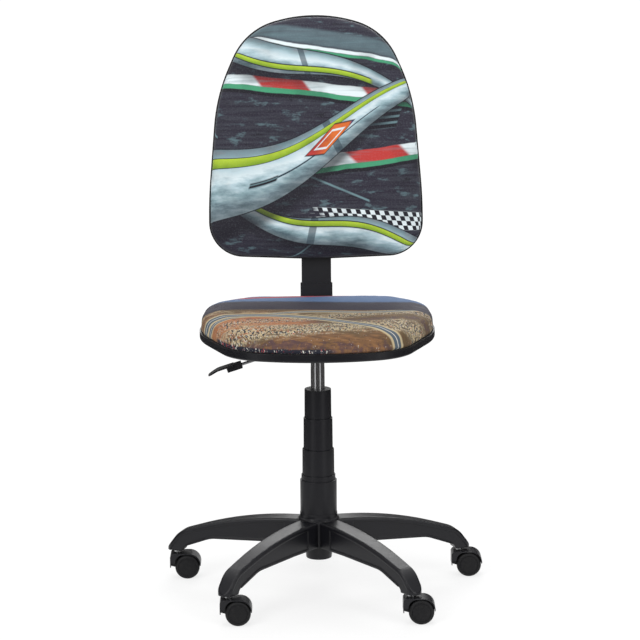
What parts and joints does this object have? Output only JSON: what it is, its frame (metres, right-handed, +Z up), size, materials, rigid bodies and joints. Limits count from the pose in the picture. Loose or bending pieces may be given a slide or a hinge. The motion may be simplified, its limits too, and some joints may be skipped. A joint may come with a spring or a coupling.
{
  "type": "swivel desk chair",
  "caption": "Armless child's swivel chair: printed cushions in black shells, gas lift with telescopic cover, star base on casters.",
  "frame": {"origin": "on the floor, at the axis of the gas lift's column", "axes": "+Z up; the sitter faces -Y; the height lever is at -X, the sitter's right"},
  "size_m": [0.6431, 0.5983, 1.1344],
  "materials": {
    "back_fabric": "thin smooth printed polyester, slight sheen",
    "seat_fabric": "thin smooth printed polyester, slight sheen",
    "black_plastic": "satin with a fine grain",
    "wheel_nylon": "satin",
    "black_steel": "black powder coat",
    "chrome": "bright",
    "steel": "zinc plated",
    "bushing_plastic": "natural",
    "bumper_rubber": "matte",
    "plywood": "raw"
  },
  "bodies": {
    "base": {"star_base": "black_plastic", "caster_stems": "steel", "gas_tube": "black_steel", "gas_tube_bushing": "bushing_plastic", "thrust_bearing": "steel", "cover_foot": "black_plastic"},
    "lift_rod": {"piston_rod": "steel", "rod_clip": "steel", "lift_bumper": "bumper_rubber"},
    "seat_frame": {"gas_column": "chrome", "column_socket": "black_steel", "mechanism_housing": "black_steel", "tilt_pin": "steel", "tilt_spring": "steel", "spring_seat": "steel", "seat_shell": "black_plastic", "seat_board": "plywood", "seat_cushion": "seat_fabric", "seat_tee_nuts": "steel", "seat_bolts": "steel"},
    "cover_lower_body": {"cover_lower": "black_plastic"},
    "cover_middle_body": {"cover_middle": "black_plastic"},
    "cover_upper_body": {"cover_upper": "black_plastic"},
    "lever": {"lever_rod": "black_steel", "lever_pin": "steel", "lever_handle": "black_plastic"},
    "button": {"valve_button": "steel"},
    "tension": {"tension_knob": "black_plastic", "tension_screw": "steel"},
    "back_frame": {"back_bar": "black_steel", "elbow_cover": "black_plastic"},
    "backrest": {"sleeve_cover": "black_plastic", "back_shell": "black_plastic", "back_board": "plywood", "back_cushion": "back_fabric", "bar_guide": "black_plastic", "back_screws": "steel"},
    "clamp_knob": {"back_knob": "black_plastic", "knob_screw": "steel"},
    "caster_1": {"caster_1_hood": "black_plastic", "caster_1_axle": "steel"},
    "caster_1_wheel_front": {"caster_1_wheel_front": "wheel_nylon"},
    "caster_1_wheel_rear": {"caster_1_wheel_rear": "wheel_nylon"},
    "caster_2": {"caster_2_hood": "black_plastic", "caster_2_axle": "steel"},
    "caster_2_wheel_front": {"caster_2_wheel_front": "wheel_nylon"},
    "caster_2_wheel_rear": {"caster_2_wheel_rear": "wheel_nylon"},
    "caster_3": {"caster_3_hood": "black_plastic", "caster_3_axle": "steel"},
    "caster_3_wheel_front": {"caster_3_wheel_front": "wheel_nylon"},
    "caster_3_wheel_rear": {"caster_3_wheel_rear": "wheel_nylon"},
    "caster_4": {"caster_4_hood": "black_plastic", "caster_4_axle": "steel"},
    "caster_4_wheel_front": {"caster_4_wheel_front": "wheel_nylon"},
    "caster_4_wheel_rear": {"caster_4_wheel_rear": "wheel_nylon"},
    "caster_5": {"caster_5_hood": "black_plastic", "caster_5_axle": "steel"},
    "caster_5_wheel_front": {"caster_5_wheel_front": "wheel_nylon"},
    "caster_5_wheel_rear": {"caster_5_wheel_rear": "wheel_nylon"}
  },
  "joints": [
    {"name": "seat_swivel", "type": "hinge", "parent": "base", "child": "lift_rod", "pos_m": [0, 0, 0.2], "axis": [0, 0, 1], "continuous": true},
    {"name": "seat_lift", "type": "slide", "parent": "lift_rod", "child": "seat_frame", "axis": [0, 0, 1], "range_m": [-0.12, 0]},
    {"name": "cover_upper_slide", "type": "slide", "parent": "base", "child": "cover_upper_body", "axis": [0, 0, 1], "range_m": [-0.085, 0]},
    {"name": "cover_middle_slide", "type": "slide", "parent": "base", "child": "cover_middle_body", "axis": [0, 0, 1], "range_m": [-0.055, 0]},
    {"name": "cover_lower_slide", "type": "slide", "parent": "base", "child": "cover_lower_body", "axis": [0, 0, 1], "range_m": [-0.028, 0]},
    {"name": "back_tilt", "type": "hinge", "parent": "seat_frame", "child": "back_frame", "pos_m": [0, 0.045, 0.486], "axis": [-1, 0, 0], "range_deg": [0, 10], "stiffness_Nm_per_rad": 100, "springref_deg": -6.88, "deforming": ["tilt_spring"]},
    {"name": "back_height", "type": "slide", "parent": "back_frame", "child": "backrest", "axis": [0, 0.1045, 0.9945], "range_m": [-0.04, 0.015]},
    {"name": "clamp_knob_turn", "type": "hinge", "parent": "backrest", "child": "clamp_knob", "pos_m": [0, 0.26649, 0.73493], "axis": [0, 0.9945, -0.1045], "range_deg": [-360, 0]},
    {"name": "tension_turn", "type": "hinge", "parent": "seat_frame", "child": "tension", "pos_m": [0, 0.1, 0.457], "axis": [0, 0, 1], "range_deg": [-720, 720]},
    {"name": "lever_lift", "type": "hinge", "parent": "seat_frame", "child": "lever", "pos_m": [-0.03, 0, 0.4985], "axis": [0, 1, 0], "range_deg": [0, 6.3], "stiffness_Nm_per_rad": 2, "springref_deg": -8.59},
    {"name": "button_press", "type": "slide", "parent": "seat_frame", "child": "button", "axis": [0, 0, 1], "range_m": [-0.0036, 0]},
    {"name": "caster_1_swivel", "type": "hinge", "parent": "base", "child": "caster_1", "pos_m": [0, 0.303, 0.05], "axis": [0, 0, 1], "continuous": true},
    {"name": "caster_1_wheel_front_roll", "type": "hinge", "parent": "caster_1", "child": "caster_1_wheel_front", "pos_m": [0.019, 0.303, 0.025], "axis": [0, 1, 0], "continuous": true},
    {"name": "caster_1_wheel_rear_roll", "type": "hinge", "parent": "caster_1", "child": "caster_1_wheel_rear", "pos_m": [0.019, 0.303, 0.025], "axis": [0, 1, 0], "continuous": true},
    {"name": "caster_2_swivel", "type": "hinge", "parent": "base", "child": "caster_2", "pos_m": [-0.28817, 0.09363, 0.05], "axis": [0, 0, 1], "continuous": true},
    {"name": "caster_2_wheel_front_roll", "type": "hinge", "parent": "caster_2", "child": "caster_2_wheel_front", "pos_m": [-0.26917, 0.09363, 0.025], "axis": [0, 1, 0], "continuous": true},
    {"name": "caster_2_wheel_rear_roll", "type": "hinge", "parent": "caster_2", "child": "caster_2_wheel_rear", "pos_m": [-0.26917, 0.09363, 0.025], "axis": [0, 1, 0], "continuous": true},
    {"name": "caster_3_swivel", "type": "hinge", "parent": "base", "child": "caster_3", "pos_m": [-0.1781, -0.24513, 0.05], "axis": [0, 0, 1], "continuous": true},
    {"name": "caster_3_wheel_front_roll", "type": "hinge", "parent": "caster_3", "child": "caster_3_wheel_front", "pos_m": [-0.1591, -0.24513, 0.025], "axis": [0, 1, 0], "continuous": true},
    {"name": "caster_3_wheel_rear_roll", "type": "hinge", "parent": "caster_3", "child": "caster_3_wheel_rear", "pos_m": [-0.1591, -0.24513, 0.025], "axis": [0, 1, 0], "continuous": true},
    {"name": "caster_4_swivel", "type": "hinge", "parent": "base", "child": "caster_4", "pos_m": [0.1781, -0.24513, 0.05], "axis": [0, 0, 1], "continuous": true},
    {"name": "caster_4_wheel_front_roll", "type": "hinge", "parent": "caster_4", "child": "caster_4_wheel_front", "pos_m": [0.1971, -0.24513, 0.025], "axis": [0, 1, 0], "continuous": true},
    {"name": "caster_4_wheel_rear_roll", "type": "hinge", "parent": "caster_4", "child": "caster_4_wheel_rear", "pos_m": [0.1971, -0.24513, 0.025], "axis": [0, 1, 0], "continuous": true},
    {"name": "caster_5_swivel", "type": "hinge", "parent": "base", "child": "caster_5", "pos_m": [0.28817, 0.09363, 0.05], "axis": [0, 0, 1], "continuous": true},
    {"name": "caster_5_wheel_front_roll", "type": "hinge", "parent": "caster_5", "child": "caster_5_wheel_front", "pos_m": [0.30717, 0.09363, 0.025], "axis": [0, 1, 0], "continuous": true},
    {"name": "caster_5_wheel_rear_roll", "type": "hinge", "parent": "caster_5", "child": "caster_5_wheel_rear", "pos_m": [0.30717, 0.09363, 0.025], "axis": [0, 1, 0], "continuous": true}
  ],
  "couplings": [
    {"joint": "cover_upper_slide", "follows": "seat_lift", "ratio": 0.7},
    {"joint": "cover_middle_slide", "follows": "seat_lift", "ratio": 0.45},
    {"joint": "cover_lower_slide", "follows": "seat_lift", "ratio": 0.225},
    {"joint": "button_press", "follows": "lever_lift", "m_per_rad": -0.03}
  ]
}
